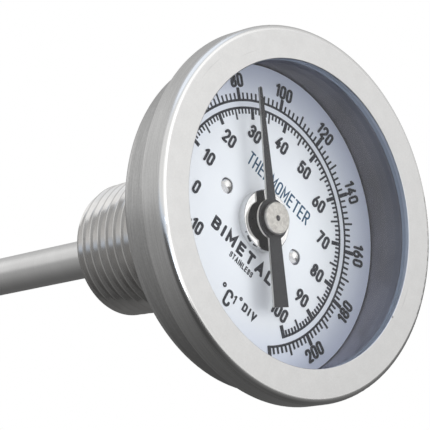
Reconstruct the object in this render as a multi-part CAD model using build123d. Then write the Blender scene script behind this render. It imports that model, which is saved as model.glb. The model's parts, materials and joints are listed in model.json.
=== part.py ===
from build123d import *
from math import cos, radians
import os

# Back-connected bimetal dial thermometer, drawn as it sits in the wall of a kettle.
# Millimetres. The stem axis is Y: the dial faces -Y and the stem points to +Y. Z is up on the dial, and
# X is to the right of someone reading it. The origin is on the axis, on the shoulder of the hexagon
# where the pipe thread begins.

# ---------------------------------------------------------------- driving dimensions
CASE_DEPTH = 11.3
CASE_RADIUS = 24.75
CASE_WALL = 1.2
CASE_BACK_ROUND = 1.7
CASE_MOUTH_ROUND = 0.4
FLANGE_RADIUS = 26.1
FLANGE_THICKNESS = 0.45

BEZEL_RADIUS = 27.25
BEZEL_DEPTH = 4.15
BEZEL_OPENING = 22.2
BEZEL_FACE_THICKNESS = 0.6
BEZEL_LIP_THICKNESS = 0.45
BEZEL_SKIRT_THICKNESS = 1.05
BEZEL_ROUND = 0.85
BEZEL_BACK_ROUND = 0.3
BEZEL_MOUTH_ROUND = 0.15

GLASS_RADIUS = 25.3
GLASS_THICKNESS = 1.6
GLASS_EDGE_BREAK = 0.15
GASKET_FRONT_LEG = 0.75
GASKET_FRONT_INNER_RADIUS = 22.3
GASKET_BACK_INNER_RADIUS = 24.0
GASKET_OUTER_RADIUS = 26.0

DIAL_RADIUS = 23.35
DIAL_THICKNESS = 0.6
RIVET_OFFSET = 8.05
RIVET_SHANK_RADIUS = 0.7
RIVET_LENGTH = 4.2
RIVET_HOLE_SPARE = 0.4
RIVET_HEAD_RADIUS = 1.2
RIVET_HEAD_HEIGHT = 0.55

BOSS_RADIUS = 4.55
BOSS_HEIGHT = 1.25
BOSS_EDGE_BREAK = 0.15
BUSH_NECK_RADIUS = 3.4
BUSH_DEPTH = 4.0

HEX_ACROSS_FLATS = 22.7
HEX_LENGTH = 6.6
HEX_CHAMFER = 0.85
NECK_RADIUS = 11.7
NECK_LENGTH = 1.4
SPIGOT_RADIUS = 6.2
CASE_WELD_LEG = 1.05
STEM_WELD_LEG = 0.9

THREAD_PITCH = 25.4 / 14
THREAD_LENGTH = 20.2
THREAD_START_RADIUS = 10.75
THREAD_DEPTH = 1.35
THREAD_TAPER = 1 / 32
THREAD_RELIEF = 1.2
THREAD_CHAMFER = 1.3
THREAD_FOOT = 0.1

STEM_RADIUS = 3.0
STEM_SEAT_RADIUS = 2.8
STEM_BORE = 2.5
STEM_TOP_Y = -3.0
STEM_TIP_Y = 101.6
TIP_THICKNESS = 2.0
TIP_SPIGOT_LENGTH = 2.0
TIP_ROUND = 1.2

SPINDLE_RADIUS = 0.8
RUNNING_CLEARANCE = 0.06
PRESS_CLEARANCE = 0.01
END_PLAY = 0.15
GUIDE_BUSH_LENGTH = 4.0
GUIDE_BUSH_ROUND = 0.3
MID_BUSH_Y = 32.0
LOW_BUSH_Y = 51.5
STOP_COLLAR_RADIUS = 1.9
STOP_COLLAR_LENGTH = 1.8

POINTER_ANGLE = -39.5
POINTER_TIP = 19.45
POINTER_TIP_RADIUS = 0.27
POINTER_ARM_HALF_WIDTH = 1.0
POINTER_TAIL = 12.75
POINTER_TAIL_HALF_WIDTH = 1.12
POINTER_TAIL_END_HALF_WIDTH = 1.45
POINTER_THICKNESS = 0.32
POINTER_HEIGHT = 2.15
HUB_RING_RADIUS = 3.0
POINTER_BUSH_RADIUS = 1.6
CAP_RADIUS = 2.4
CAP_HEIGHT = 1.0
CAP_EDGE_BREAK = 0.2
CAP_CENTRE_RADIUS = 0.42
CAP_CENTRE_DEPTH = 0.3
CAP_CROWN = 0.35

COIL_RADIUS = 1.75
COIL_PITCH = 2.6
COIL_TURNS = 13
COIL_STRIP_WIDTH = 1.9
COIL_STRIP_THICKNESS = 0.25
COIL_START_Y = 58.5
COIL_COLLAR_LEAD = 2.0
COIL_COLLAR_LENGTH = 3.2
COIL_GAP = 0.03
ANCHOR_LENGTH = 3.2
ANCHOR_HOLE_DEPTH = 2.2
SPINDLE_FOOT_DEPTH = 1.8

# ---------------------------------------------------------------- stations along the stem axis
CASE_BACK_Y = -(HEX_LENGTH + NECK_LENGTH)
FRONT_Y = CASE_BACK_Y - CASE_DEPTH
BEZEL_BACK_Y = FRONT_Y + BEZEL_DEPTH
FLANGE_BACK_Y = BEZEL_BACK_Y - BEZEL_LIP_THICKNESS
FLANGE_FRONT_Y = FLANGE_BACK_Y - FLANGE_THICKNESS
GASKET_FRONT_Y = FRONT_Y + BEZEL_FACE_THICKNESS
GLASS_FRONT_Y = GASKET_FRONT_Y + GASKET_FRONT_LEG
GLASS_BACK_Y = GLASS_FRONT_Y + GLASS_THICKNESS
DIAL_BACK_Y = CASE_BACK_Y - CASE_WALL
DIAL_FACE_Y = DIAL_BACK_Y - DIAL_THICKNESS
RIVET_END_Y = DIAL_FACE_Y + RIVET_LENGTH
BOSS_TOP_Y = DIAL_FACE_Y - BOSS_HEIGHT
BUSH_END_Y = DIAL_BACK_Y + BUSH_DEPTH
POINTER_BACK_Y = DIAL_FACE_Y - POINTER_HEIGHT
POINTER_FACE_Y = POINTER_BACK_Y - POINTER_THICKNESS
CAP_TOP_Y = POINTER_FACE_Y - CAP_HEIGHT
CAP_UNDER_CROWN_Y = CAP_TOP_Y + CAP_CROWN
STEM_SEAT_END_Y = THREAD_LENGTH + STEM_WELD_LEG
TIP_SHOULDER_Y = STEM_TIP_Y - TIP_THICKNESS
COIL_END_Y = COIL_START_Y + COIL_TURNS * COIL_PITCH
ANCHOR_Y = COIL_END_Y + COIL_STRIP_WIDTH / 2 + END_PLAY

STEM_AXIS = Axis.Y
CASE_BORE = CASE_RADIUS - CASE_WALL
RUNNING_BORE = SPINDLE_RADIUS + RUNNING_CLEARANCE
BUSH_RADIUS = STEM_BORE - PRESS_CLEARANCE
CUT_PAST = 1.0


def turned(outline, rounds=()):
    """A solid turned about the stem axis, from the (radius, y) corners of half its section.

    rounds lists (corner index, radius) for the corners that are rounded.
    """
    section = make_face(Polyline(*outline, close=True))
    for index, radius in rounds:
        corner = section.vertices().sort_by_distance(Vector(*outline[index]))[0]
        section = fillet(corner, radius)
    return revolve(section, STEM_AXIS)


def ring(inner, outer, y_low, y_high):
    """A plain ring, or a disc where inner is 0, between two stations on the axis."""
    return turned([(inner, y_low), (outer, y_low), (outer, y_high), (inner, y_high)])


def axial_plane(y):
    """A sketching plane square to the stem axis, facing along +Y."""
    return Plane(origin=(0, y, 0), x_dir=(1, 0, 0), z_dir=(0, 1, 0))


def rivet_places():
    """Shifts from the stem axis to the two dial rivets, left and right of it."""
    return [Pos(-RIVET_OFFSET, 0, 0), Pos(RIVET_OFFSET, 0, 0)]


def rivet_holes(y_low, y_high):
    """The two rivet shanks as plain bars, to be cut from what they pass through."""
    bar = ring(0, RIVET_SHANK_RADIUS, y_low, y_high)
    return [place * bar for place in rivet_places()]


# ---------------------------------------------------------------- case, bezel and window
def case_cup():
    """Spun steel cup with a flat back and a narrow flange round its mouth."""
    outline = [
        (SPIGOT_RADIUS, CASE_BACK_Y),
        (CASE_RADIUS, CASE_BACK_Y),
        (CASE_RADIUS, FLANGE_BACK_Y),
        (FLANGE_RADIUS, FLANGE_BACK_Y),
        (FLANGE_RADIUS, FLANGE_FRONT_Y),
        (CASE_BORE, FLANGE_FRONT_Y),
        (CASE_BORE, DIAL_BACK_Y),
        (SPIGOT_RADIUS, DIAL_BACK_Y),
    ]
    cup = turned(outline, [(1, CASE_BACK_ROUND), (5, CASE_MOUTH_ROUND)])
    return cup - rivet_holes(DIAL_BACK_Y - CUT_PAST, CASE_BACK_Y + CUT_PAST)


def bezel_ring():
    """Wide-faced ring rolled over the flange of the cup, with the window and its gasket inside."""
    inner_skirt = BEZEL_RADIUS - BEZEL_SKIRT_THICKNESS
    lip_bore = CASE_RADIUS + PRESS_CLEARANCE
    outline = [
        (BEZEL_OPENING, FRONT_Y),
        (BEZEL_RADIUS, FRONT_Y),
        (BEZEL_RADIUS, BEZEL_BACK_Y),
        (lip_bore, BEZEL_BACK_Y),
        (lip_bore, FLANGE_BACK_Y),
        (inner_skirt, FLANGE_BACK_Y),
        (inner_skirt, GASKET_FRONT_Y),
        (BEZEL_OPENING, GASKET_FRONT_Y),
    ]
    return turned(outline, [(0, BEZEL_MOUTH_ROUND), (1, BEZEL_ROUND), (2, BEZEL_BACK_ROUND)])


def window_glass():
    outline = [
        (0, GLASS_FRONT_Y),
        (GLASS_RADIUS, GLASS_FRONT_Y),
        (GLASS_RADIUS, GLASS_BACK_Y),
        (0, GLASS_BACK_Y),
    ]
    return turned(outline, [(1, GLASS_EDGE_BREAK), (2, GLASS_EDGE_BREAK)])


def window_gasket():
    """Rubber channel that wraps the edge of the window."""
    outline = [
        (GASKET_FRONT_INNER_RADIUS, GASKET_FRONT_Y),
        (GASKET_OUTER_RADIUS, GASKET_FRONT_Y),
        (GASKET_OUTER_RADIUS, FLANGE_FRONT_Y),
        (GASKET_BACK_INNER_RADIUS, FLANGE_FRONT_Y),
        (GASKET_BACK_INNER_RADIUS, GLASS_BACK_Y),
        (GLASS_RADIUS, GLASS_BACK_Y),
        (GLASS_RADIUS, GLASS_FRONT_Y),
        (GASKET_FRONT_INNER_RADIUS, GLASS_FRONT_Y),
    ]
    return turned(outline)


# ---------------------------------------------------------------- dial
def dial_plate():
    dial = ring(BUSH_NECK_RADIUS, DIAL_RADIUS, DIAL_FACE_Y, DIAL_BACK_Y)
    return dial - rivet_holes(DIAL_FACE_Y - CUT_PAST, DIAL_BACK_Y + CUT_PAST)


def dial_rivets():
    """Two domed rivets that pin the dial and the cup to the fitting."""
    sphere_radius = (RIVET_HEAD_RADIUS**2 + RIVET_HEAD_HEIGHT**2) / (2 * RIVET_HEAD_HEIGHT)
    crown = (0, DIAL_FACE_Y - RIVET_HEAD_HEIGHT)
    rim = (RIVET_HEAD_RADIUS, DIAL_FACE_Y)
    dome = RadiusArc(crown, rim, -sphere_radius)
    shank = Polyline(
        rim,
        (RIVET_SHANK_RADIUS, DIAL_FACE_Y),
        (RIVET_SHANK_RADIUS, RIVET_END_Y),
        (0, RIVET_END_Y),
        crown,
    )
    rivet = revolve(make_face(dome + shank), STEM_AXIS)
    return Compound(children=[place * rivet for place in rivet_places()])


# ---------------------------------------------------------------- fitting and stem
def crest_radius(y):
    """Crest radius of the taper pipe thread at a station on the axis."""
    return THREAD_START_RADIUS - y * THREAD_TAPER


def root_radius(y):
    return crest_radius(y) - THREAD_DEPTH


def thread_ridge():
    """The right-hand helical ridge of the thread, its foot sunk a little into the core."""
    start_y = -THREAD_PITCH
    taper_angle = 1.79
    half_root = THREAD_PITCH * 0.47
    half_crest = THREAD_PITCH * 0.07
    half_foot = THREAD_PITCH * 0.49
    helix = Helix(
        THREAD_PITCH,
        THREAD_LENGTH + 3 * THREAD_PITCH,
        root_radius(start_y),
        center=(0, start_y, 0),
        direction=(0, 1, 0),
        cone_angle=-taper_angle,
    )
    outward = (helix @ 0 - Vector(0, start_y, 0)).normalized()
    section = Plane(origin=helix @ 0, x_dir=outward, z_dir=helix % 0)
    outline = [
        (-THREAD_FOOT, -half_foot),
        (0, -half_root),
        (THREAD_DEPTH, -half_crest),
        (THREAD_DEPTH, half_crest),
        (0, half_root),
        (-THREAD_FOOT, half_foot),
    ]
    profile = section * make_face(Polyline(*outline, close=True))
    return sweep(profile, path=helix, is_frenet=True)


def threaded_shank():
    """Taper pipe thread with a run-out at the hexagon and a chamfered lead at its end."""
    core = turned(
        [(0, 0), (root_radius(0), 0), (root_radius(THREAD_LENGTH), THREAD_LENGTH), (0, THREAD_LENGTH)]
    )
    run_out_y = THREAD_RELIEF / 2
    chamfer_y = THREAD_LENGTH - THREAD_CHAMFER
    envelope = turned(
        [
            (0, run_out_y),
            (root_radius(0), run_out_y),
            (crest_radius(0), THREAD_RELIEF),
            (crest_radius(chamfer_y), chamfer_y),
            (root_radius(THREAD_LENGTH) - THREAD_FOOT, THREAD_LENGTH),
            (0, THREAD_LENGTH),
        ]
    )
    return core + (thread_ridge() & envelope)


def hexagon():
    """Spanner hexagon with the corners of both faces chamfered."""
    flat_radius = HEX_ACROSS_FLATS / 2
    corner_radius = flat_radius / cos(radians(30))
    face_radius = flat_radius + 0.2
    prism = extrude(
        axial_plane(-HEX_LENGTH) * RegularPolygon(flat_radius, 6, major_radius=False),
        HEX_LENGTH,
    )
    envelope = turned(
        [
            (0, -HEX_LENGTH),
            (face_radius, -HEX_LENGTH),
            (corner_radius, -HEX_LENGTH + HEX_CHAMFER),
            (corner_radius, -HEX_CHAMFER),
            (face_radius, 0),
            (0, 0),
        ]
    )
    return prism & envelope


def threaded_fitting():
    neck = ring(0, NECK_RADIUS, CASE_BACK_Y, -HEX_LENGTH)
    spigot = ring(0, SPIGOT_RADIUS, DIAL_BACK_Y, CASE_BACK_Y)
    fitting = threaded_shank() + hexagon() + neck + spigot
    fitting -= ring(0, STEM_SEAT_RADIUS, STEM_TOP_Y, THREAD_LENGTH + CUT_PAST)
    fitting -= ring(0, STEM_BORE, DIAL_BACK_Y - CUT_PAST, STEM_TOP_Y)
    return fitting - rivet_holes(CASE_BACK_Y - CUT_PAST, RIVET_END_Y + RIVET_HOLE_SPARE)


def weld_bead(radius, y, leg):
    """A weld bead in the corner between a round bar and the flat face it stands on."""
    bulge = 0.58 * leg
    on_face = (radius + leg, y)
    on_bar = (radius, y + leg)
    skin = ThreePointArc(on_face, (radius + bulge, y + bulge), on_bar)
    legs = Polyline(on_bar, (radius, y), on_face)
    return revolve(make_face(skin + legs), STEM_AXIS)


def stem_tube():
    """Thin drawn tube, its upper end turned down a little to seat in the fitting."""
    return turned(
        [
            (STEM_BORE, STEM_TOP_Y),
            (STEM_SEAT_RADIUS, STEM_TOP_Y),
            (STEM_SEAT_RADIUS, STEM_SEAT_END_Y),
            (STEM_RADIUS, STEM_SEAT_END_Y),
            (STEM_RADIUS, TIP_SHOULDER_Y),
            (STEM_BORE, TIP_SHOULDER_Y),
        ]
    )


def stem_tip():
    """Plug welded into the end of the stem tube, with a rounded nose."""
    outline = [
        (0, TIP_SHOULDER_Y - TIP_SPIGOT_LENGTH),
        (BUSH_RADIUS, TIP_SHOULDER_Y - TIP_SPIGOT_LENGTH),
        (BUSH_RADIUS, TIP_SHOULDER_Y),
        (STEM_RADIUS, TIP_SHOULDER_Y),
        (STEM_RADIUS, STEM_TIP_Y),
        (0, STEM_TIP_Y),
    ]
    return turned(outline, [(4, TIP_ROUND)])


# ---------------------------------------------------------------- fixed pieces of the movement
def spindle_bush():
    """Polished flanged bush at the middle of the dial, pressed into the fitting."""
    outline = [
        (RUNNING_BORE, BOSS_TOP_Y),
        (BOSS_RADIUS, BOSS_TOP_Y),
        (BOSS_RADIUS, DIAL_FACE_Y),
        (BUSH_NECK_RADIUS, DIAL_FACE_Y),
        (BUSH_NECK_RADIUS, DIAL_BACK_Y),
        (BUSH_RADIUS, DIAL_BACK_Y),
        (BUSH_RADIUS, BUSH_END_Y),
        (RUNNING_BORE, BUSH_END_Y),
    ]
    return turned(outline, [(1, BOSS_EDGE_BREAK)])


def guide_bush(y):
    """Bush pressed into the stem tube, which keeps the spindle in the middle."""
    outline = [
        (RUNNING_BORE, y),
        (BUSH_RADIUS, y),
        (BUSH_RADIUS, y + GUIDE_BUSH_LENGTH),
        (RUNNING_BORE, y + GUIDE_BUSH_LENGTH),
    ]
    return turned(outline, [(1, GUIDE_BUSH_ROUND), (2, GUIDE_BUSH_ROUND)])


def coil_anchor():
    """Fixed plug below the coil, with the blind hole that steadies the foot of the spindle."""
    outline = [
        (RUNNING_BORE, ANCHOR_Y),
        (BUSH_RADIUS, ANCHOR_Y),
        (BUSH_RADIUS, ANCHOR_Y + ANCHOR_LENGTH),
        (0, ANCHOR_Y + ANCHOR_LENGTH),
        (0, ANCHOR_Y + ANCHOR_HOLE_DEPTH),
        (RUNNING_BORE, ANCHOR_Y + ANCHOR_HOLE_DEPTH),
    ]
    return turned(outline, [(2, GUIDE_BUSH_ROUND)])


def bimetal_coil():
    """Strip of two bonded metals wound as an open helix, its width lying along the stem."""
    helix = Helix(
        COIL_PITCH,
        COIL_END_Y - COIL_START_Y,
        COIL_RADIUS,
        center=(0, COIL_START_Y, 0),
        direction=(0, 1, 0),
    )
    outward = (helix @ 0 - Vector(0, COIL_START_Y, 0)).normalized()
    section = Plane(origin=helix @ 0, x_dir=outward, z_dir=helix % 0)
    strip = section * Rectangle(COIL_STRIP_THICKNESS, COIL_STRIP_WIDTH)
    return sweep(strip, path=helix, is_frenet=True)


# ---------------------------------------------------------------- moving pieces
def coil_collar():
    """Collar on the spindle that the upper end of the coil is welded to."""
    outer = COIL_RADIUS - COIL_STRIP_THICKNESS / 2 - COIL_GAP
    low = COIL_START_Y - COIL_COLLAR_LEAD
    return ring(SPINDLE_RADIUS, outer, low, low + COIL_COLLAR_LENGTH)


def stop_collar():
    """Ring on the spindle under the flanged bush, which keeps the spindle from lifting."""
    low = BUSH_END_Y + END_PLAY
    return ring(SPINDLE_RADIUS, STOP_COLLAR_RADIUS, low, low + STOP_COLLAR_LENGTH)


def pointer():
    """Flat needle: a ring round the hub, a long tapering arm and a broader counterweight tail."""
    plane = Plane(origin=(0, POINTER_BACK_Y, 0), x_dir=(1, 0, 0), z_dir=(0, -1, 0))
    tip_centre = POINTER_TIP - POINTER_TIP_RADIUS
    arm = Polyline(
        (-POINTER_ARM_HALF_WIDTH, 0),
        (-POINTER_TIP_RADIUS, tip_centre),
        (POINTER_TIP_RADIUS, tip_centre),
        (POINTER_ARM_HALF_WIDTH, 0),
        close=True,
    )
    tail = Polyline(
        (-POINTER_TAIL_HALF_WIDTH, 0),
        (POINTER_TAIL_HALF_WIDTH, 0),
        (POINTER_TAIL_END_HALF_WIDTH, -POINTER_TAIL),
        (-POINTER_TAIL_END_HALF_WIDTH, -POINTER_TAIL),
        close=True,
    )
    blank = make_face(arm) + make_face(tail)
    blank += Pos(0, tip_centre) * Circle(POINTER_TIP_RADIUS)
    blank += Circle(HUB_RING_RADIUS)
    blank -= Circle(SPINDLE_RADIUS)
    return extrude(plane * blank, POINTER_THICKNESS).rotate(STEM_AXIS, POINTER_ANGLE)


def pointer_cap():
    """Silver cap that holds the pointer down on the end of the spindle, centre-drilled in its face."""
    outline = [
        (SPINDLE_RADIUS, POINTER_FACE_Y),
        (CAP_RADIUS, POINTER_FACE_Y),
        (CAP_RADIUS, CAP_TOP_Y),
        (CAP_CENTRE_RADIUS, CAP_TOP_Y),
        (0, CAP_TOP_Y + CAP_CENTRE_DEPTH),
        (0, CAP_UNDER_CROWN_Y),
        (SPINDLE_RADIUS, CAP_UNDER_CROWN_Y),
    ]
    return turned(outline, [(2, CAP_EDGE_BREAK)])


PARTS = {
    "case_cup": case_cup(),
    "bezel_ring": bezel_ring(),
    "window_glass": window_glass(),
    "window_gasket": window_gasket(),
    "dial_plate": dial_plate(),
    "dial_rivets": dial_rivets(),
    "threaded_fitting": threaded_fitting(),
    "case_weld": weld_bead(NECK_RADIUS, CASE_BACK_Y, CASE_WELD_LEG),
    "stem_tube": stem_tube(),
    "stem_weld": weld_bead(STEM_SEAT_RADIUS, THREAD_LENGTH, STEM_WELD_LEG),
    "stem_tip": stem_tip(),
    "spindle_bush": spindle_bush(),
    "guide_bush_mid": guide_bush(MID_BUSH_Y),
    "guide_bush_low": guide_bush(LOW_BUSH_Y),
    "coil_anchor": coil_anchor(),
    "bimetal_coil": bimetal_coil(),
    "coil_collar": coil_collar(),
    "spindle": ring(0, SPINDLE_RADIUS, CAP_UNDER_CROWN_Y, ANCHOR_Y + SPINDLE_FOOT_DEPTH),
    "stop_collar": stop_collar(),
    "pointer_bush": ring(SPINDLE_RADIUS, POINTER_BUSH_RADIUS, POINTER_BACK_Y, BOSS_TOP_Y - END_PLAY),
    "pointer": pointer(),
    "pointer_cap": pointer_cap(),
}

os.makedirs("parts", exist_ok=True)
for name, shape in PARTS.items():
    export_step(shape, f"parts/{name}.step")
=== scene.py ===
import json
from math import cos, degrees, hypot, pi, radians, sin

import bpy
from mathutils import Matrix, Vector


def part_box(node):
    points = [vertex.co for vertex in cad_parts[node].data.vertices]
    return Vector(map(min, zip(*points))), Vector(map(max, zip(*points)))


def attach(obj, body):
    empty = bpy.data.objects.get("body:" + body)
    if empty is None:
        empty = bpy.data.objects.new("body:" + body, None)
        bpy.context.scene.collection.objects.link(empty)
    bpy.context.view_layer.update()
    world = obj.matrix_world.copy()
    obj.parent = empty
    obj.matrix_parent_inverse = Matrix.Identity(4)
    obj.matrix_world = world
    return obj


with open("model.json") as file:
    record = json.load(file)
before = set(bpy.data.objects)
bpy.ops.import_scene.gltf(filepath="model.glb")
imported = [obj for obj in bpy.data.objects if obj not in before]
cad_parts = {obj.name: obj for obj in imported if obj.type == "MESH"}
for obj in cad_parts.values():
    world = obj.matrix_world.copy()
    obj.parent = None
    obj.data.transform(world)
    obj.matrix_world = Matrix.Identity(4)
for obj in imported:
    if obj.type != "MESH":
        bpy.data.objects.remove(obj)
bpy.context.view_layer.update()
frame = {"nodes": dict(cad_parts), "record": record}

# The looks of a dial thermometer. Metres, in the frame of the CAD model: the stem lies along +Y, the dial
# faces -Y, and Z is up on the dial. Dial angles are in degrees, clockwise from straight up.
MM = 0.001
SCENE = bpy.context.scene

# ---------------------------------------------------------------- places on the CAD model
LOWEST, HIGHEST = 0, 1
BEZEL_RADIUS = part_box("bezel_ring")[HIGHEST].x
CASE_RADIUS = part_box("case_cup")[HIGHEST].x
CASE_BACK_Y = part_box("case_cup")[HIGHEST].y
DIAL_FACE_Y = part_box("dial_plate")[LOWEST].y
CAP_FACE_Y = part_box("pointer_cap")[LOWEST].y
# the round opening in the bezel, which its box does not show
OPENING_RADIUS = 22.2 * MM

# ---------------------------------------------------------------- the printed dial
CELSIUS_LOW, CELSIUS_HIGH = -10, 100
FAHRENHEIT_LOW, FAHRENHEIT_HIGH = 0, 220
DEGREES_PER_CELSIUS = 2.4
CELSIUS_AT_TOP = 45
DEGREES_PER_FAHRENHEIT = DEGREES_PER_CELSIUS / 1.8
FAHRENHEIT_AT_TOP = 113
# the marks are not quite evenly spaced: the most that one is out of place, in degrees, and where none is
UNEVENNESS = 0.9
EVEN_AT = 7

# the print sits a little off the middle of the dial plate
PRINT_CENTRE = Vector((-0.25, -0.4)) * MM
CELSIUS_ARC = 16.88 * MM
FAHRENHEIT_ARC = 18.01 * MM
ARC_WIDTH = 0.36 * MM
MARK_WIDTHS = {"long": 0.56 * MM, "middle": 0.28 * MM, "short": 0.28 * MM}
# the radius at which a mark ends, away from its arc
CELSIUS_MARK_ENDS = {"long": 15.16 * MM, "middle": 15.2 * MM, "short": 16.0 * MM}
FAHRENHEIT_MARK_ENDS = {"long": 19.85 * MM, "middle": 19.75 * MM, "short": 19.1 * MM}

FIGURE = dict(height=2.1 * MM, weight=0.17, gap=0.10)
CELSIUS_FIGURES = 13.05 * MM
CELSIUS_FIGURES_SHIFT = Vector((0.2, 0.1)) * MM
FAHRENHEIT_FIGURES = 20.95 * MM
# Fahrenheit figures after this value are turned over, so that they are not upside down
FAHRENHEIT_UPRIGHT_TO = 170

# text, its centre on the dial and its height in mm, then its weight, gap and stretch as write() has them
WORDS = (
    ("THERMOMETER", (0.4, 7.0), 2.2, 0.12, 0.12, 0.92),
    ("BIMETAL", (-0.3, -5.65), 2.0, 0.24, 0.30, 1.65),
    ("STAINLESS", (0.45, -7.55), 0.9, 0.17, 0.16, 1.0),
    ("o", (-0.5, -12.9), 2.4, 0.1, 0.1, 1.0),
    ("C", (1.0, -13.3), 2.7, 0.15, 0.1, 1.0),
    ("1", (2.15, -12.65), 1.45, 0.16, 0.1, 1.0),
    ("o", (3.1, -12.45), 1.9, 0.1, 0.1, 1.0),
    ("DIV", (5.4, -12.4), 1.3, 0.23, 0.3, 1.4),
)

# each stroke of ink is a step higher than the last, so that no two tops share a plane
INK_HEIGHT = 0.020 * MM
INK_STEP = 0.001 * MM
INK_SUNK = 0.004 * MM
SAME_POINT = 1e-7
SHARPEST_MITRE = 0.35


def unevenly(angle):
    """A dial angle moved by the scales' unevenness."""
    return angle + UNEVENNESS * sin(radians(2 * (angle - EVEN_AT)))


def dial_angle_celsius(value):
    return unevenly((value - CELSIUS_AT_TOP) * DEGREES_PER_CELSIUS)


def dial_angle_fahrenheit(value):
    return unevenly((value - FAHRENHEIT_AT_TOP) * DEGREES_PER_FAHRENHEIT)


def on_dial(angle, radius):
    """The (right, up) place on the dial at a dial angle and a radius."""
    return Vector((radius * sin(radians(angle)), radius * cos(radians(angle))))


class Ink:
    """Flat strokes with square or round ends, gathered into one thin mesh that lies on the dial."""

    def __init__(self, name):
        self.name = name
        self.vertices = []
        self.faces = []
        self.height = INK_HEIGHT

    def stroke(self, points, width, closed=False, round_ends=True):
        """Lays a ribbon of a width along points, each stroke a hair higher than the last."""
        points = drop_repeats(points)
        left, right = offset_sides(points, width / 2, closed)
        if closed:
            self.band(left, right)
        else:
            start, end = [], []
            if round_ends:
                start = end_cap(points[0], points[1], width / 2)
                end = end_cap(points[-1], points[-2], width / 2)
            self.slab(left + end + right[::-1] + start, left, right, start, end)
        self.height += INK_STEP

    def place(self, flat, y):
        """Adds flat points at a height and returns the index of the first."""
        first = len(self.vertices)
        self.vertices += [(PRINT_CENTRE.x + p.x, y, PRINT_CENTRE.y + p.y) for p in flat]
        return first

    def band(self, left, right):
        """A closed ribbon with a top, a bottom and two walls."""
        top, bottom = DIAL_FACE_Y - self.height, DIAL_FACE_Y + INK_SUNK
        section = [(left, top), (right, top), (right, bottom), (left, bottom)]
        loops = [self.place(side, y) for side, y in section]
        count = len(left)
        for here, there in zip(loops, loops[1:] + loops[:1]):
            for i in range(count):
                j = (i + 1) % count
                self.faces.append((here + i, here + j, there + j, there + i))

    def slab(self, outline, left, right, start, end):
        """An open ribbon, whose top and bottom are strips between its sides, with its ends filled."""
        top, bottom = DIAL_FACE_Y - self.height, DIAL_FACE_Y + INK_SUNK
        above, below = self.place(outline, top), self.place(outline, bottom)
        side, cap, total = len(left), len(end), len(outline)
        for base, turn in ((above, 1), (below, -1)):
            for i in range(side - 1):
                far = total - len(start) - 1 - i
                self.faces.append((base + i, base + i + 1, base + far - 1, base + far)[::turn])
            if cap:
                self.faces.append(tuple(base + k for k in range(side - 1, side + cap + 1))[::turn])
                ends = [base + k for k in range(total - len(start) - 1, total)] + [base]
                self.faces.append(tuple(ends)[::turn])
        for i in range(total):
            j = (i + 1) % total
            self.faces.append((above + j, above + i, below + i, below + j))

    def finish(self):
        mesh = bpy.data.meshes.new(self.name)
        mesh.from_pydata(self.vertices, [], self.faces)
        mesh.update()
        piece = bpy.data.objects.new(self.name, mesh)
        SCENE.collection.objects.link(piece)
        piece.data.materials.append(MATERIALS["dial_ink"])
        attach(piece, "case")


def drop_repeats(points):
    kept = [points[0]]
    for point in points[1:]:
        if (point - kept[-1]).length > SAME_POINT:
            kept.append(point)
    return kept


def normal_of(a, b):
    along = (b - a).normalized()
    return Vector((-along.y, along.x))


def offset_sides(points, half, closed):
    """The two sides of a ribbon along points, mitred at its corners."""
    left, right = [], []
    count = len(points)
    for i, point in enumerate(points):
        before = normal_of(points[i - 1], point) if closed or i > 0 else None
        after = normal_of(point, points[(i + 1) % count]) if closed or i < count - 1 else None
        before, after = before or after, after or before
        middle = (before + after).normalized()
        reach = half / max(middle.dot(before), SHARPEST_MITRE)
        left.append(point + middle * reach)
        right.append(point - middle * reach)
    return left, right


def end_cap(tip, inner, half, steps=8):
    """Points round the end of a stroke, from its left side to its right, for someone leaving inner."""
    out = (tip - inner).normalized()
    side = Vector((-out.y, out.x))
    turns = [pi * k / steps for k in range(1, steps)]
    return [tip + side * half * cos(turn) + out * half * sin(turn) for turn in turns]


def rounded(path, closed=False, step=12):
    """Points along a path of (x, y, corner radius). Each corner's arc has steps of about step degrees."""
    corners = [(Vector((c[0], c[1])), c[2] if len(c) > 2 else 0.0) for c in path]
    points = []
    for i, (corner, radius) in enumerate(corners):
        at_end = not closed and i in (0, len(corners) - 1)
        if radius == 0 or at_end:
            points.append(corner)
            continue
        before = (corners[i - 1][0] - corner).normalized()
        after = (corners[(i + 1) % len(corners)][0] - corner).normalized()
        half_turn = (pi - before.angle(after)) / 2
        cut = radius * sin(half_turn) / cos(half_turn)
        centre = corner + (before + after).normalized() * hypot(cut, radius)
        first = corner + before * cut - centre
        turn = -1 if before.x * after.y - before.y * after.x > 0 else 1
        count = max(2, int(degrees(2 * half_turn) / step))
        for k in range(count + 1):
            points.append(centre + rotate(first, turn * 2 * half_turn * k / count))
    return points


def rotate(v, angle):
    return Vector((v.x * cos(angle) - v.y * sin(angle), v.x * sin(angle) + v.y * cos(angle)))


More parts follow.
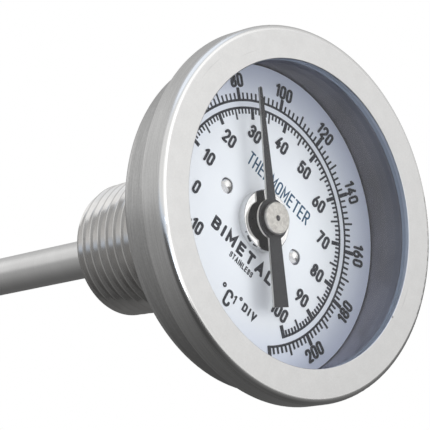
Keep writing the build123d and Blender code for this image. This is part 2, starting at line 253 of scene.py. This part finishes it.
# Each glyph is its advance and its strokes, in parts of the height of its centre lines. A stroke is a path
# of (x, y, corner radius), and a path that ends in "loop" closes on itself.
WIDE = 0.44
BOWL = 0.21
GLYPHS = {
    "0": (WIDE, [[(0, 0, BOWL), (0, 1, BOWL), (WIDE, 1, BOWL), (WIDE, 0, BOWL), "loop"]]),
    "1": (0.22, [[(0, 0.80), (0.21, 1, 0.02), (0.21, 0)]]),
    "2": (
        WIDE,
        [[(0, 0.74), (0, 1, BOWL), (WIDE, 1, BOWL), (WIDE, 0.56, 0.2), (0, 0, 0.02), (WIDE, 0)]],
    ),
    "3": (
        WIDE,
        [
            [(0, 0.78), (0, 1, BOWL), (WIDE, 1, BOWL), (WIDE, 0.54, 0.2), (0.17, 0.54)],
            [(0.17, 0.54), (WIDE, 0.54, 0.2), (WIDE, 0, BOWL), (0, 0, BOWL), (0, 0.22)],
        ],
    ),
    "4": (WIDE, [[(0.30, 1), (0, 0.26, 0.02), (0.46, 0.26)], [(0.33, 0.52), (0.33, 0)]]),
    "5": (
        WIDE,
        [
            [
                (0.41, 1),
                (0.04, 1, 0.02),
                (0.02, 0.60, 0.03),
                (WIDE, 0.66, BOWL),
                (WIDE, 0, BOWL),
                (0, 0, BOWL),
                (0, 0.12),
            ]
        ],
    ),
    "6": (
        WIDE,
        [
            [(0, 0, BOWL), (0, 0.58, BOWL), (WIDE, 0.58, BOWL), (WIDE, 0, BOWL), "loop"],
            [(0.30, 1), (0, 0.46, 0.3), (0, 0.25)],
        ],
    ),
    "7": (WIDE, [[(0, 1), (WIDE, 1, 0.02), (0.14, 0)]]),
    "8": (
        WIDE,
        [
            [(0, 0, BOWL), (0, 0.54, BOWL), (WIDE, 0.54, BOWL), (WIDE, 0, BOWL), "loop"],
            [(0.03, 0.54, 0.19), (0.03, 1, 0.19), (WIDE - 0.03, 1, 0.19), (WIDE - 0.03, 0.54, 0.19), "loop"],
        ],
    ),
    "9": (
        WIDE,
        [
            [(0, 0.42, BOWL), (0, 1, BOWL), (WIDE, 1, BOWL), (WIDE, 0.42, BOWL), "loop"],
            [(0.14, 0), (WIDE, 0.54, 0.3), (WIDE, 0.75)],
        ],
    ),
    "-": (0.22, [[(0, 0.48), (0.22, 0.48)]]),
    "o": (0.22, [[(0, 0.78, 0.1), (0, 1, 0.1), (0.22, 1, 0.1), (0.22, 0.78, 0.1), "loop"]]),
    " ": (0.2, []),
    "A": (0.5, [[(0, 0), (0.25, 1), (0.5, 0)], [(0.09, 0.32), (0.41, 0.32)]]),
    "B": (
        WIDE,
        [
            [(0, 0), (0, 1), (0.42, 1, 0.18), (0.42, 0.53, 0.18), (0, 0.53)],
            [(0.2, 0.53), (WIDE, 0.53, 0.2), (WIDE, 0, 0.2), (0, 0)],
        ],
    ),
    "C": (
        WIDE,
        [[(WIDE, 0.74), (WIDE, 1, BOWL), (0, 1, BOWL), (0, 0, BOWL), (WIDE, 0, BOWL), (WIDE, 0.26)]],
    ),
    "D": (WIDE, [[(0, 0), (0, 1), (WIDE, 1, BOWL), (WIDE, 0, BOWL), "loop"]]),
    "E": (0.40, [[(0.40, 1), (0, 1), (0, 0), (0.40, 0)], [(0, 0.52), (0.36, 0.52)]]),
    "H": (WIDE, [[(0, 0), (0, 1)], [(WIDE, 0), (WIDE, 1)], [(0, 0.52), (WIDE, 0.52)]]),
    "I": (0.0, [[(0, 0), (0, 1)]]),
    "L": (0.38, [[(0, 1), (0, 0), (0.38, 0)]]),
    "M": (0.56, [[(0, 0), (0, 1), (0.28, 0.34), (0.56, 1), (0.56, 0)]]),
    "N": (0.46, [[(0, 0), (0, 1), (0.46, 0), (0.46, 1)]]),
    "O": (WIDE, [[(0, 0, BOWL), (0, 1, BOWL), (WIDE, 1, BOWL), (WIDE, 0, BOWL), "loop"]]),
    "R": (
        WIDE,
        [[(0, 0), (0, 1), (WIDE, 1, BOWL), (WIDE, 0.48, BOWL), (0, 0.48)], [(0.22, 0.48), (WIDE, 0)]],
    ),
    "S": (
        WIDE,
        [
            [
                (WIDE, 0.77),
                (WIDE, 1, BOWL),
                (0, 1, BOWL),
                (0, 0.53, 0.2),
                (WIDE, 0.53, 0.2),
                (WIDE, 0, BOWL),
                (0, 0, BOWL),
                (0, 0.23),
            ]
        ],
    ),
    "T": (0.46, [[(0, 1), (0.46, 1)], [(0.23, 1), (0.23, 0)]]),
    "V": (0.48, [[(0, 1), (0.24, 0), (0.48, 1)]]),
}


def write(ink, text, centre, height, weight, gap, turn=0.0, stretch=1.0):
    """Writes text round a centre on the dial.

    height is that of a whole figure. weight is the width of its stroke and gap the clear space between two
    figures, both in parts of the height. turn is clockwise, and stretch widens the figures.
    """
    line_height = height * (1 - weight)
    advance = [GLYPHS[c][0] * line_height * stretch + height * (weight + gap) for c in text]
    pen = -(sum(advance) - height * (weight + gap)) / 2
    for character, step in zip(text, advance):
        for path in GLYPHS[character][1]:
            closed = path[-1] == "loop"
            flat = rounded([c for c in path if c != "loop"], closed)
            points = []
            for p in flat:
                local = Vector((pen + p.x * line_height * stretch, (p.y - 0.5) * line_height))
                points.append(centre + rotate(local, -radians(turn)))
            ink.stroke(points, height * weight, closed)
        pen += step


def arc(angle_from, angle_to, radius, step=1.0):
    count = max(2, int(abs(angle_to - angle_from) / step))
    return [on_dial(angle_from + (angle_to - angle_from) * k / count, radius) for k in range(count + 1)]


def scale_marks(ink, values, middle, long, angle_of, arc_radius, mark_ends):
    """One scale: its arc, and a mark at every value that is longer at each middle and long one."""
    first, last = values[0], values[-1]
    ink.stroke(arc(angle_of(first), angle_of(last), arc_radius), ARC_WIDTH, round_ends=False)
    outward = 1 if mark_ends["long"] > arc_radius else -1
    for value in values:
        size = "long" if value % long == 0 else "middle" if value % middle == 0 else "short"
        # a mark starts inside the width of its arc, and the first and last at the arc's far side
        depth = 0.5 if value in (first, last) else 0.3
        foot = arc_radius - outward * ARC_WIDTH * depth
        angle = angle_of(value)
        ends = [on_dial(angle, foot), on_dial(angle, mark_ends[size])]
        ink.stroke(ends, MARK_WIDTHS[size], round_ends=False)


def print_dial():
    """The two scales with their figures, and the words."""
    celsius = Ink("celsius_scale")
    degrees_celsius = range(CELSIUS_LOW, CELSIUS_HIGH + 1)
    scale_marks(celsius, degrees_celsius, 5, 10, dial_angle_celsius, CELSIUS_ARC, CELSIUS_MARK_ENDS)
    for value in range(CELSIUS_LOW, CELSIUS_HIGH + 1, 10):
        centre = on_dial(dial_angle_celsius(value), CELSIUS_FIGURES) + CELSIUS_FIGURES_SHIFT
        write(celsius, str(value), centre, **FIGURE)
    celsius.finish()

    fahrenheit = Ink("fahrenheit_scale")
    every_second = range(FAHRENHEIT_LOW, FAHRENHEIT_HIGH + 1, 2)
    scale_marks(
        fahrenheit, every_second, 10, 20, dial_angle_fahrenheit, FAHRENHEIT_ARC, FAHRENHEIT_MARK_ENDS
    )
    for value in range(FAHRENHEIT_LOW + 20, FAHRENHEIT_HIGH, 20):
        angle = dial_angle_fahrenheit(value)
        turn = angle + 180 if value > FAHRENHEIT_UPRIGHT_TO else angle
        write(fahrenheit, str(value), on_dial(angle, FAHRENHEIT_FIGURES), turn=turn, **FIGURE)
    fahrenheit.finish()

    words = Ink("dial_words")
    for text, centre, height, weight, gap, stretch in WORDS:
        write(words, text, Vector(centre) * MM, height * MM, weight, gap, stretch=stretch)
    words.finish()


# ---------------------------------------------------------------- materials
MATERIALS = {}


class Nodes:
    """The node tree of a material, or of a world, with a short way to add nodes and join them."""

    def __init__(self, name, world=False):
        self.block = (bpy.data.worlds if world else bpy.data.materials).new(name)
        self.block.use_nodes = True
        self.tree = self.block.node_tree
        self.tree.nodes.clear()
        self.output = self.add("OutputWorld" if world else "OutputMaterial")
        if not world:
            MATERIALS[name] = self.block

    def add(self, kind, settings=None, **inputs):
        """Adds a node. settings are its properties, and inputs are values or sockets for its inputs.

        An input goes by its name, or by its number after an i, as in i0.
        """
        node = self.tree.nodes.new("ShaderNode" + kind)
        for key, value in (settings or {}).items():
            setattr(node, key, value)
        for key, value in inputs.items():
            by_number = key[0] == "i" and key[1:].isdigit()
            self.feed(node.inputs[int(key[1:]) if by_number else key], value)
        return node

    def feed(self, socket, value):
        if isinstance(value, bpy.types.NodeSocket):
            self.tree.links.new(value, socket)
        else:
            socket.default_value = value

    def math(self, operation, a, b=0.0):
        return self.add("Math", {"operation": operation}, i0=a, i1=b).outputs[0]

    def product(self, first, *others):
        for other in others:
            first = self.math("MULTIPLY", first, other)
        return first

    def total(self, first, *others):
        for other in others:
            first = self.math("ADD", first, other)
        return first

    def place(self):
        return self.add("TexCoord").outputs["Object"]

    def axes(self, vector):
        return self.add("SeparateXYZ", i0=vector).outputs

    def radius(self, place):
        """How far a place is from the stem axis."""
        x, y, z = self.axes(place)
        return self.math("SQRT", self.total(self.product(x, x), self.product(z, z)))

    def noise(self, vector, size, detail=4.0, roughness=0.55, distortion=0.0):
        """Noise between 0 and 1 whose blots are about size metres across."""
        node = self.add(
            "TexNoise",
            Vector=vector,
            Scale=1 / size,
            Detail=detail,
            Roughness=roughness,
            Distortion=distortion,
        )
        return node.outputs["Fac"]

    def between(self, value, low, high, to_low=0.0, to_high=1.0):
        """The value carried from low..high onto to_low..to_high, and held inside that range."""
        node = self.add(
            "MapRange",
            {"clamp": True},
            **{"Value": value, "From Min": low, "From Max": high, "To Min": to_low, "To Max": to_high},
        )
        return node.outputs[0]

    def mix(self, factor, a, b):
        """Colour a where factor is 0, and b where it is 1."""
        # a Mix node has its two colours at sockets 6 and 7, and their mix at 2
        return self.add("Mix", {"data_type": "RGBA"}, i0=factor, i6=a, i7=b).outputs[2]

    def shades(self, noise, dark, light, low=0.3, high=0.7):
        """A colour that runs from dark to light as noise rises from low to high."""
        return self.mix(self.between(noise, low, high), dark, light)

    def bump(self, height, distance):
        return self.add("Bump", Height=height, Distance=distance, Strength=1.0).outputs[0]

    def shader(self, **inputs):
        """The main shader. Names use _ for spaces."""
        node = self.add("BsdfPrincipled")
        for key, value in inputs.items():
            self.feed(node.inputs[key.replace("_", " ")], value)
        return node.outputs[0]

    def finish(self, surface):
        self.tree.links.new(surface, self.output.inputs["Surface"])
        return self.block


def rgb(r, g, b):
    """A colour from its red, green and blue in 0 to 255, as a screen shows it."""
    def linear(c):
        c = c / 255
        return c / 12.92 if c <= 0.04045 else ((c + 0.055) / 1.055) ** 2.4

    return (linear(r), linear(g), linear(b), 1.0)


def grey(tone, warmth=0.0):
    return rgb(tone, tone - warmth, tone - 2 * warmth)


def turned_noise(nodes, place, ring_size, step):
    """Noise drawn out round the stem axis, as a lathe or a polishing wheel leaves it.

    ring_size is the width of its lines. step is how far it moves on in a radian: less means longer lines.
    """
    x, y, z = nodes.axes(place)
    around = nodes.product(nodes.math("ARCTAN2", z, x), step)
    turned = nodes.add("CombineXYZ", i0=nodes.radius(place), i1=y, i2=around)
    return nodes.noise(turned.outputs[0], ring_size, detail=3.0)


# how much darker than its own tone a satin steel can be in its grain
GRAIN_SHADE = 60
# the step of its grain in parts of the grain's width
GRAIN_STEP = 0.02


def steel(name, tone, roughness, cloud_size, grain, grain_depth, warmth=0.0, cloud=9, line=6):
    """Satin steel: faint clouds in its tone and gloss, and a fine grain turned round the stem.

    cloud and line say how much the clouds and the grain change the tone.
    """
    nodes = Nodes(name)
    place = nodes.place()
    clouds = nodes.noise(place, cloud_size, detail=5.0, distortion=0.6)
    lines = turned_noise(nodes, place, grain, grain * GRAIN_STEP)
    colour = nodes.shades(clouds, grey(tone - cloud, warmth), grey(tone + cloud, warmth))
    grooves = nodes.between(lines, 0.35, 0.65, line / GRAIN_SHADE, 0.0)
    colour = nodes.mix(grooves, colour, grey(tone - GRAIN_SHADE, warmth))
    surface = nodes.shader(
        Base_Color=colour,
        Metallic=1.0,
        Roughness=nodes.between(clouds, 0.3, 0.7, roughness * 1.08, roughness * 0.94),
        Normal=nodes.bump(lines, grain_depth),
    )
    return nodes.finish(surface)


def bezel_steel():
    """Bead-blasted face, polished corner, brushed side, and a blue-grey band on the opening's edge."""
    nodes = Nodes("bezel_steel")
    place = nodes.place()
    x, _, z = nodes.axes(place)
    radius = nodes.radius(place)
    face_plane = nodes.add("CombineXYZ", i0=x, i1=z).outputs[0]

    clouds = nodes.noise(place, 2.2 * MM, detail=6.0, roughness=0.65)
    grain = nodes.noise(place, 0.22 * MM, detail=4.0, roughness=0.7)
    hairline = turned_noise(nodes, place, 0.5 * MM, 0.9 * MM)
    face = nodes.shades(clouds, grey(208), grey(215))
    face = nodes.mix(nodes.between(grain, 0.3, 0.7, 0.22, 0.0), face, grey(178))
    face = nodes.mix(nodes.between(hairline, 0.69, 0.74, 0.0, 0.16), face, grey(130))

    # small dark pits in the face, one to a cell in a few of the cells, and none near the corner
    cells = nodes.add("TexVoronoi", {"voronoi_dimensions": "2D"}, Vector=face_plane, Scale=1 / (4.5 * MM))
    pits = nodes.product(
        nodes.between(nodes.axes(cells.outputs["Color"])[0], 0.92, 0.94),
        nodes.between(cells.outputs["Distance"], 0.05, 0.035),
        nodes.between(radius, BEZEL_RADIUS - 1.4 * MM, BEZEL_RADIUS - 1.6 * MM),
    )
    face = nodes.mix(nodes.product(pits, 0.6), face, grey(70))

    lines = turned_noise(nodes, place, 0.14 * MM, 0.6 * MM)
    cross = nodes.noise(place, 0.25 * MM, detail=5.0, roughness=0.75)
    brushed = nodes.shades(lines, grey(210), grey(230), 0.35, 0.65)
    brushed = nodes.mix(nodes.between(cross, 0.35, 0.65, 0.4, 0.0), brushed, grey(188))

    on_side = nodes.between(radius, BEZEL_RADIUS - 0.10 * MM, BEZEL_RADIUS - 0.03 * MM)
    on_corner = nodes.between(radius, BEZEL_RADIUS - 0.90 * MM, BEZEL_RADIUS - 0.75 * MM)
    on_edge = nodes.between(radius, OPENING_RADIUS + 0.08 * MM, OPENING_RADIUS + 0.03 * MM)
    colour = nodes.mix(on_corner, face, grey(222))
    colour = nodes.mix(on_side, colour, brushed)
    # a blue-grey band round the edge of the opening
    colour = nodes.mix(on_edge, colour, rgb(176, 184, 198))
    face_roughness, corner_smoother, side_rougher = 0.30, 0.12, 0.14
    roughness = nodes.math("SUBTRACT", face_roughness, nodes.product(on_corner, corner_smoother))
    roughness = nodes.total(roughness, nodes.product(on_side, side_rougher))
    surface = nodes.shader(
        Base_Color=colour,
        Metallic=1.0,
        Roughness=roughness,
        Normal=nodes.bump(grain, 0.0006 * MM),
    )
    return nodes.finish(surface)


def case_steel():
    """Turned satin steel outside, and a darker grey inside the cup, with painted light that makes the wall
    lighter low down and near the window.
    """
    nodes = Nodes("case_steel")
    place = nodes.place()
    _, depth, height = nodes.axes(place)
    lines = turned_noise(nodes, place, 0.14 * MM, 0.6 * MM)
    mottle = nodes.noise(place, 0.3 * MM, detail=5.0, roughness=0.75)
    clouds = nodes.noise(place, 3.5 * MM, detail=5.0)

    outside = nodes.shades(lines, grey(190), grey(212), 0.35, 0.65)
    outside = nodes.mix(nodes.between(mottle, 0.35, 0.65, 0.45, 0.0), outside, grey(164))

    # inside, painted light: the wall's colour is made lighter low down and lighter and bluer near the
    # window, standing in for how light falls on it
    inside = nodes.mix(nodes.between(height, 16 * MM, -16 * MM), rgb(128, 126, 131), rgb(184, 184, 196))
    inside = nodes.mix(nodes.between(clouds, 0.35, 0.65, 0.0, 0.25), inside, rgb(104, 104, 110))
    # painted light: lighter and bluer towards the window end of the wall
    inside = nodes.mix(nodes.between(depth, -12 * MM, -17 * MM, 0.0, 0.40), inside, rgb(184, 188, 198))
    is_inside = nodes.product(
        nodes.between(nodes.radius(place), CASE_RADIUS - 1.9 * MM, CASE_RADIUS - 2.1 * MM),
        nodes.between(depth, CASE_BACK_Y - 0.6 * MM, CASE_BACK_Y - 0.8 * MM),
    )

    outside_roughness, inside_rougher = 0.34, 0.16
    surface = nodes.shader(
        Base_Color=nodes.mix(is_inside, outside, inside),
        Metallic=1.0,
        Roughness=nodes.total(outside_roughness, nodes.product(is_inside, inside_rougher)),
        Normal=nodes.bump(lines, 0.0001 * MM),
    )
    return nodes.finish(surface)


def cap_steel():
    """Faced cap with short scratches and small stains, painted shade in its centre-drilled dimple, and a
    painted dark reflection and shade on its foot.
    """
    nodes = Nodes("cap_steel")
    place = nodes.place()
    scratches = turned_noise(nodes, place, 0.30 * MM, 0.9 * MM)
    stains = nodes.noise(place, 0.7 * MM, detail=6.0, roughness=0.7, distortion=0.8)
    colour = nodes.shades(stains, rgb(178, 175, 171), rgb(209, 207, 202), 0.35, 0.6)
    colour = nodes.mix(nodes.between(scratches, 0.58, 0.68, 0.0, 0.35), colour, rgb(150, 146, 140))
    # painted shade: the centre-drilled dimple and the cap's foot are darkened in the colour, standing in for
    # the shade there and for the dark pointer that the side mirrors
    dimple = nodes.between(nodes.radius(place), 0.46 * MM, 0.38 * MM)
    foot = nodes.between(nodes.axes(place)[1], CAP_FACE_Y + 0.30 * MM, CAP_FACE_Y + 0.50 * MM)
    dark = nodes.product(nodes.math("MAXIMUM", dimple, foot), 0.85)
    colour = nodes.mix(dark, colour, rgb(52, 46, 52))
    surface = nodes.shader(
        Base_Color=colour, Metallic=1.0, Roughness=0.33, Normal=nodes.bump(scratches, 0.003 * MM)
    )
    return nodes.finish(surface)


def bush_brass():
    """Turned brass with a fine grain."""
    nodes = Nodes("bush_brass")
    lines = turned_noise(nodes, nodes.place(), 0.08 * MM, 0.002 * MM)
    colour = nodes.shades(lines, rgb(198, 160, 88), rgb(222, 188, 118))
    surface = nodes.shader(
        Base_Color=colour, Metallic=1.0, Roughness=0.28, Normal=nodes.bump(lines, 0.001 * MM)
    )
    return nodes.finish(surface)


def bimetal():
    """Rolled strip with the heat tint that its winding and ageing leave."""
    nodes = Nodes("bimetal")
    tint = nodes.noise(nodes.place(), 3 * MM, detail=3.0)
    colour = nodes.shades(tint, rgb(176, 160, 140), rgb(200, 194, 186))
    return nodes.finish(nodes.shader(Base_Color=colour, Metallic=1.0, Roughness=0.32))


def window_glass():
    """Clear glass that lets the studio light straight through to the dial."""
    nodes = Nodes("window_glass")
    smears = nodes.noise(nodes.place(), 9 * MM, detail=4.0, distortion=1.0)
    glass = nodes.shader(
        Base_Color=(1.0, 1.0, 1.0, 1.0),
        Roughness=nodes.between(smears, 0.4, 0.8, 0.0, 0.03),
        IOR=1.5,
        Specular_Tint=(0.1, 0.1, 0.1, 1.0),
        Transmission_Weight=1.0,
    )
    clear = nodes.add("BsdfTransparent", Color=(0.96, 0.975, 0.98, 1.0)).outputs[0]
    path = nodes.add("LightPath").outputs
    lit = nodes.math("MAXIMUM", path["Is Shadow Ray"], path["Is Diffuse Ray"])
    return nodes.finish(nodes.add("MixShader", i0=lit, i1=glass, i2=clear).outputs[0])


def gasket_rubber():
    """Grey rubber with a grain that makes it matt."""
    nodes = Nodes("gasket_rubber")
    grain = nodes.noise(nodes.place(), 0.4 * MM, detail=6.0)
    colour = nodes.mix(grain, rgb(132, 142, 158), rgb(148, 158, 174))
    surface = nodes.shader(Base_Color=colour, Roughness=0.6, Normal=nodes.bump(grain, 0.01 * MM))
    return nodes.finish(surface)


def dial_enamel():
    """Baked white paint, very slightly uneven, with painted shade that makes it a little darker and bluer
    toward the rim of the dial.
    """
    nodes = Nodes("dial_enamel")
    place = nodes.place()
    cast = nodes.noise(place, 14 * MM, detail=2.0)
    peel = nodes.noise(place, 0.35 * MM, detail=3.0)
    colour = nodes.shades(cast, rgb(241, 242, 246), rgb(247, 248, 250))
    # painted shade: darker and bluer toward the rim, where the case wall shades the dial
    colour = nodes.mix(nodes.between(nodes.radius(place), 15 * MM, 23 * MM), colour, rgb(222, 228, 247))
    surface = nodes.shader(
        Base_Color=colour,
        Roughness=nodes.between(peel, 0.3, 0.7, 0.38, 0.46),
        Normal=nodes.bump(peel, 0.002 * MM),
    )
    return nodes.finish(surface)


def dial_ink():
    """Slate ink, bluer in the thin word over the middle of the dial."""
    nodes = Nodes("dial_ink")
    place = nodes.place()
    patches = nodes.noise(place, 0.25 * MM, detail=4.0)
    slate = nodes.shades(patches, rgb(40, 42, 49), rgb(54, 56, 64))
    blue = nodes.shades(patches, rgb(30, 72, 102), rgb(44, 86, 116))
    in_middle = nodes.between(nodes.radius(place), 11 * MM, 10.5 * MM)
    in_word = nodes.product(in_middle, nodes.between(nodes.axes(place)[2], 3 * MM, 3.5 * MM))
    colour = nodes.mix(in_word, slate, blue)
    return nodes.finish(nodes.shader(Base_Color=colour, Roughness=0.5, Specular_IOR_Level=0.2))


def pointer_paint():
    """Matt charcoal on the flat of the needle, and bare metal where the blank was cut round its edge."""
    nodes = Nodes("pointer_paint")
    grain = nodes.noise(nodes.place(), 0.12 * MM, detail=5.0)
    paint = nodes.shader(
        Base_Color=nodes.shades(grain, rgb(52, 51, 53), rgb(62, 61, 63)),
        Roughness=0.5,
        Specular_IOR_Level=0.2,
        Normal=nodes.bump(grain, 0.003 * MM),
    )
    bare = nodes.shader(
        Base_Color=nodes.mix(grain, rgb(180, 178, 174), rgb(215, 213, 210)), Metallic=1.0, Roughness=0.3
    )
    facing = nodes.axes(nodes.add("NewGeometry").outputs["Normal"])[1]
    is_flat = nodes.between(nodes.math("ABSOLUTE", facing), 0.4, 0.6)
    return nodes.finish(nodes.add("MixShader", i0=is_flat, i1=bare, i2=paint).outputs[0])


def make_materials():
    bezel_steel()
    case_steel()
    cap_steel()
    steel("fitting_steel", 222, 0.13, 4 * MM, 0.08 * MM, 0.0004 * MM, warmth=1)
    steel("weld_steel", 190, 0.35, 1 * MM, 0.2 * MM, 0.002 * MM, warmth=2)
    steel("stem_steel", 239, 0.31, 5 * MM, 0.08 * MM, 0.0004 * MM, cloud=3)
    steel("rivet_steel", 215, 0.16, 1 * MM, 0.2 * MM, 0.0002 * MM)
    steel("polished_steel", 228, 0.05, 2 * MM, 0.3 * MM, 0.0001 * MM)
    steel("spindle_steel", 205, 0.25, 2 * MM, 0.1 * MM, 0.0005 * MM)
    bush_brass()
    bimetal()
    window_glass()
    gasket_rubber()
    dial_enamel()
    dial_ink()
    pointer_paint()


def dress_nodes():
    """Gives every CAD node the material of its slot."""
    slots = {row["node"]: row["material_slot"] for row in frame["record"]["subparts"]}
    for name, node in frame["nodes"].items():
        node.data.materials.clear()
        node.data.materials.append(MATERIALS[slots[name]])


# ---------------------------------------------------------------- camera, studio and light
CAMERA_PLACE = Vector((-0.1406, -0.2178, -0.1615))
CAMERA_LOOK = Vector((0.4561, 0.7106, 0.5358)).normalized()
CAMERA_UP = Vector((-0.6444, -0.1516, 0.7495))
CAMERA_RIGHT = CAMERA_LOOK.cross(CAMERA_UP)
CAMERA_LENS = 172.55
CAMERA_SENSOR = 36.0

FLOOR_HEIGHT = -0.45
FLOOR_HALF_WIDTH = 6.0

# the lights of the studio, against a white of 1: the first three are only mirrored, and the wash lights
# matt surfaces
PANEL_LIGHT = 0.68
HORIZON_LIGHT = 2.4
OVERHEAD_LIGHT = 0.55
WASH_LIGHT = 1.02
# how much lower the edge of the studio's light room is behind to the right
EDGE_DROP = 0.18


def aimed(look, up):
    """A turn that points -Z along look and keeps Y near up."""
    back = -look.normalized()
    right = up.cross(back).normalized()
    return Matrix((right, back.cross(right), back)).transposed().to_4x4()


def make_camera():
    data = bpy.data.cameras.new("camera")
    data.lens = CAMERA_LENS
    data.sensor_width = CAMERA_SENSOR
    data.clip_start = 0.01
    data.clip_end = 20.0
    camera = bpy.data.objects.new("camera", data)
    camera.matrix_world = Matrix.Translation(CAMERA_PLACE) @ aimed(CAMERA_LOOK, CAMERA_UP)
    SCENE.collection.objects.link(camera)
    SCENE.camera = camera


def make_floor():
    mesh = bpy.data.meshes.new("floor")
    half = FLOOR_HALF_WIDTH
    square = ((-half, -half), (half, -half), (half, half), (-half, half))
    corners = [(x, y, FLOOR_HEIGHT) for x, y in square]
    mesh.from_pydata(corners, [], [(0, 1, 2, 3)])
    floor = bpy.data.objects.new("floor", mesh)
    SCENE.collection.objects.link(floor)
    floor.visible_glossy = False
    nodes = Nodes("floor_paint")
    tone = nodes.mix(nodes.noise(nodes.place(), 0.5), rgb(236, 236, 238), rgb(240, 240, 241))
    floor.data.materials.append(nodes.finish(nodes.shader(Base_Color=tone, Roughness=0.9)))


def make_world():
    """White to the camera, an even wash on matt surfaces, and a studio of soft panels to what is polished.

    The studio stands still: up, right and ahead are how far a direction points along three fixed axes.
    """
    nodes = Nodes("studio", world=True)
    between, product = nodes.between, nodes.product
    direction = nodes.add("TexCoord").outputs["Generated"]

    def along(axis):
        dot = nodes.add("VectorMath", {"operation": "DOT_PRODUCT"}, i0=direction, i1=axis)
        return between(dot.outputs["Value"], -1.0, 1.0, -1.0, 1.0)

    up, right, ahead = along(CAMERA_UP), along(CAMERA_RIGHT), along(CAMERA_LOOK)

    # a dim ground, dimmer low down, to the right, behind and far ahead
    ground = product(
        between(up, -0.85, -0.25, 0.10, 0.36),
        between(right, 0.35, 0.75, 1.0, 0.6),
        between(ahead, -0.35, -0.75, 1.0, 0.35),
        between(ahead, 0.4, 0.9, 1.0, 0.45),
    )
    # a light room over it, whose edge is lower behind to the right
    behind = product(between(ahead, -0.5, -0.75), between(right, 0.15, 0.35))
    raised = nodes.total(up, product(behind, EDGE_DROP))
    sky = between(raised, 0.0, 0.10)
    sky_light = product(between(ahead, -0.2, -0.5, 0.70, 0.96), between(ahead, 0.5, 0.95, 1.0, 0.65))
    room = nodes.total(product(nodes.math("SUBTRACT", sky_light, ground), sky), ground)
    # panels to the right, overhead and to the left ahead, and a bright strip along the room's edge
    panel = product(
        between(right, 0.35, 0.7),
        between(ahead, 0.25, -0.05, 0.2, 1.0),
        between(up, -0.1, 0.1),
    )
    overhead = between(up, 0.86, 0.94, 0.0, OVERHEAD_LIGHT)
    horizon = product(between(raised, 0.02, 0.07), between(raised, 0.20, 0.13), behind)
    left_panel = product(
        between(right, -0.5, -0.7),
        between(ahead, 0.40, 0.50),
        between(up, 0.55, 0.42),
        between(up, -0.80, -0.65),
        between(up, 0.02, 0.08, 0.06, 0.45),
    )
    light = nodes.total(
        room, overhead, product(panel, PANEL_LIGHT), product(horizon, HORIZON_LIGHT), left_panel
    )
    # a cool tint along the room's edge and overhead
    cool = product(
        between(raised, 0.30, 0.14),
        between(right, 0.6, 0.3),
        between(raised, -0.02, 0.06),
        between(ahead, -0.2, -0.45),
    )
    cool = nodes.math("MAXIMUM", cool, between(up, 0.8, 0.9, 0.0, 0.6))
    tint = nodes.mix(cool, (1.0, 0.995, 0.985, 1.0), (0.78, 0.87, 1.0, 1.0))

    mirrored = nodes.add("Background", Color=tint, Strength=light).outputs[0]
    wash = nodes.add("Background", Color=(0.965, 0.978, 1.0, 1.0), Strength=WASH_LIGHT).outputs[0]
    seen = nodes.add("Background", Color=(1.0, 1.0, 1.0, 1.0), Strength=1.0).outputs[0]
    path = nodes.add("LightPath").outputs
    lit = nodes.add("MixShader", i0=path["Is Diffuse Ray"], i1=mirrored, i2=wash).outputs[0]
    whole = nodes.add("MixShader", i0=path["Is Camera Ray"], i1=lit, i2=seen).outputs[0]
    SCENE.world = nodes.finish(whole)
    SCENE.view_settings.view_transform = "Standard"


def softbox(name, direction, distance, size, power):
    """A square soft light that shapes matt surfaces. What is polished mirrors the studio instead."""
    data = bpy.data.lights.new(name, "AREA")
    data.shape = "SQUARE"
    data.size = size
    data.energy = power
    lamp = bpy.data.objects.new(name, data)
    place = direction.normalized() * distance
    lamp.matrix_world = Matrix.Translation(place) @ aimed(-place, CAMERA_UP)
    lamp.visible_glossy = False
    lamp.visible_transmission = False
    SCENE.collection.objects.link(lamp)


make_materials()
dress_nodes()
print_dial()
make_camera()
make_floor()
make_world()
softbox("key", direction=Vector((0.45, -0.707, 0.545)), distance=0.9, size=0.45, power=2.6)
